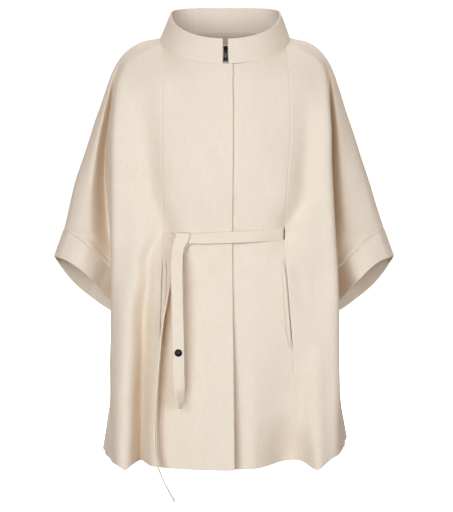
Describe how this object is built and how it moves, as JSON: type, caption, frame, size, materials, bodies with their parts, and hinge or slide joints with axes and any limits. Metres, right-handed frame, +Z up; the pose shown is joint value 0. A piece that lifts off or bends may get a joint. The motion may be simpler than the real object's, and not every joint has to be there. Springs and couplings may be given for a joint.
{
  "type": "belted cashmere cape",
  "caption": "Hollow belted cashmere cape in its worn shape, with a stand collar, a hidden zip closure, seam pockets, short banded arm openings and a knotted tie belt.",
  "frame": {"origin": "middle of the neck base, level with the inner ends of the shoulders, where the wearer holds the cape up", "axes": "+Z up, the front faces -Y, the wearer's left is +X"},
  "size_m": [0.6648, 0.3937, 0.9462],
  "materials": {
    "cashmere": "soft brushed nap, matte",
    "zip_tape": "flat woven tape",
    "dark_metal": "satin gunmetal"
  },
  "bodies": {
    "cape": {"front_right": "cashmere", "front_left": "cashmere", "side_right": "cashmere", "side_left": "cashmere", "back": "cashmere", "collar": "cashmere", "cuff_right": "cashmere", "cuff_left": "cashmere", "belt_left": "cashmere", "belt_right": "cashmere", "snap_stud": "dark_metal", "pocket_welt_right": "cashmere", "pocket_patch_right": "cashmere", "pocket_welt_left": "cashmere", "pocket_patch_left": "cashmere", "zip_tape_left": "zip_tape", "zip_tape_right": "zip_tape", "zip_slider": "dark_metal"},
    "pull": {"zip_pull": "dark_metal"}
  },
  "joints": [
    {"name": "pull_swing", "type": "hinge", "parent": "cape", "child": "pull", "pos_m": [0.0012, -0.0944, -0.0266], "axis": [-1, 0, 0], "range_deg": [0, 165]}
  ]
}
